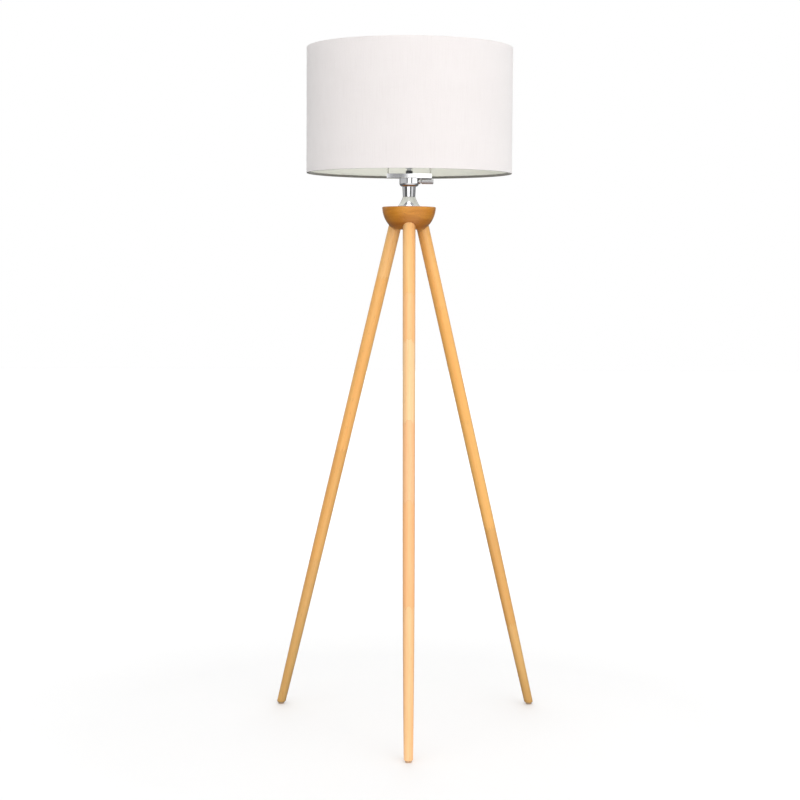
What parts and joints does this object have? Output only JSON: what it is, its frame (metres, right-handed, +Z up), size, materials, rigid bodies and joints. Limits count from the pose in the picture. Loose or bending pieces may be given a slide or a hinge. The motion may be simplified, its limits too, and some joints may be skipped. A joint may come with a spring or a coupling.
{
  "type": "tripod_floor_lamp",
  "caption": "Tripod floor lamp with three tapered wooden legs in a turned half-round hub, a chrome stem with a rotary switch, and a white linen drum shade on a harp.",
  "frame": {"origin": "on the floor, directly under the lamp's vertical axis", "axes": "+Z up along the stem; the front leg points along -Y and the switch knob along +X"},
  "size_m": [0.6062, 0.577, 1.516],
  "materials": {
    "pale_wood": "satin lacquer",
    "brown_wood": "satin lacquer",
    "chrome": "polished",
    "nickel_steel": "bright nickel",
    "zinc_steel": "zinc plated",
    "dark_steel": "black oxide",
    "ring_white": "white powder coat",
    "linen": "natural linen weave",
    "liner": "matt styrene backing",
    "hem_tape": "taupe tape",
    "felt": "pressed felt",
    "black_plastic": "moulded",
    "phenolic": "moulded",
    "brass": "plain",
    "bulb_white": "moulded",
    "bulb_opal": "frosted",
    "board": "plain",
    "lead_black": "insulation",
    "lead_white": "insulation"
  },
  "bodies": {
    "base": {"leg_front": "pale_wood", "leg_right": "pale_wood", "leg_left": "pale_wood", "foot_pad_front": "felt", "foot_pad_right": "felt", "foot_pad_left": "felt", "leg_studs": "zinc_steel", "leg_inserts": "zinc_steel", "hub_bowl": "brown_wood", "threaded_stem": "zinc_steel", "hub_washer": "zinc_steel", "hub_nut": "zinc_steel", "cord_bushing": "black_plastic", "husk_cone": "chrome", "neck_tube": "chrome", "switch_housing": "chrome", "switch_cover": "chrome", "switch_body": "phenolic", "switch_bush": "nickel_steel", "switch_nut": "chrome", "harp_saddle": "nickel_steel", "saddle_nut": "dark_steel", "harp": "nickel_steel", "harp_seat": "nickel_steel", "lampholder_nut": "zinc_steel", "lampholder_cap": "phenolic", "lampholder_body": "phenolic", "contact_block": "phenolic", "terminal_screws": "brass", "screw_shell": "brass", "centre_contact": "brass", "live_supply_lead": "lead_black", "live_switched_lead": "lead_black", "neutral_lead": "lead_white"},
    "knob": {"switch_shaft": "nickel_steel", "switch_cam": "phenolic", "switch_knob": "chrome"},
    "shade": {"shade_fabric": "linen", "shade_liner": "liner", "shade_ring_top": "ring_white", "shade_ring_bottom": "ring_white", "shade_hem_top": "hem_tape", "shade_hem_bottom": "hem_tape", "shade_spider": "ring_white"},
    "finial": {"finial": "nickel_steel"},
    "bulb": {"bulb_tip": "brass", "bulb_insulator": "black_plastic", "bulb_base": "nickel_steel", "bulb_housing": "bulb_white", "bulb_board": "board", "bulb_globe": "bulb_opal"}
  },
  "joints": [
    {"name": "knob_turn", "type": "hinge", "parent": "base", "child": "knob", "pos_m": [0.03, 0, 1.2235], "axis": [1, 0, 0], "continuous": true},
    {"name": "shade_turn", "type": "hinge", "parent": "base", "child": "shade", "pos_m": [0, 0, 1.4911], "axis": [0, 0, 1], "continuous": true},
    {"name": "finial_turn", "type": "hinge", "parent": "base", "child": "finial", "pos_m": [0, 0, 1.5], "axis": [0, 0, 1], "continuous": true},
    {"name": "bulb_turn", "type": "hinge", "parent": "base", "child": "bulb", "pos_m": [0, 0, 1.3], "axis": [0, 0, 1], "continuous": true}
  ]
}
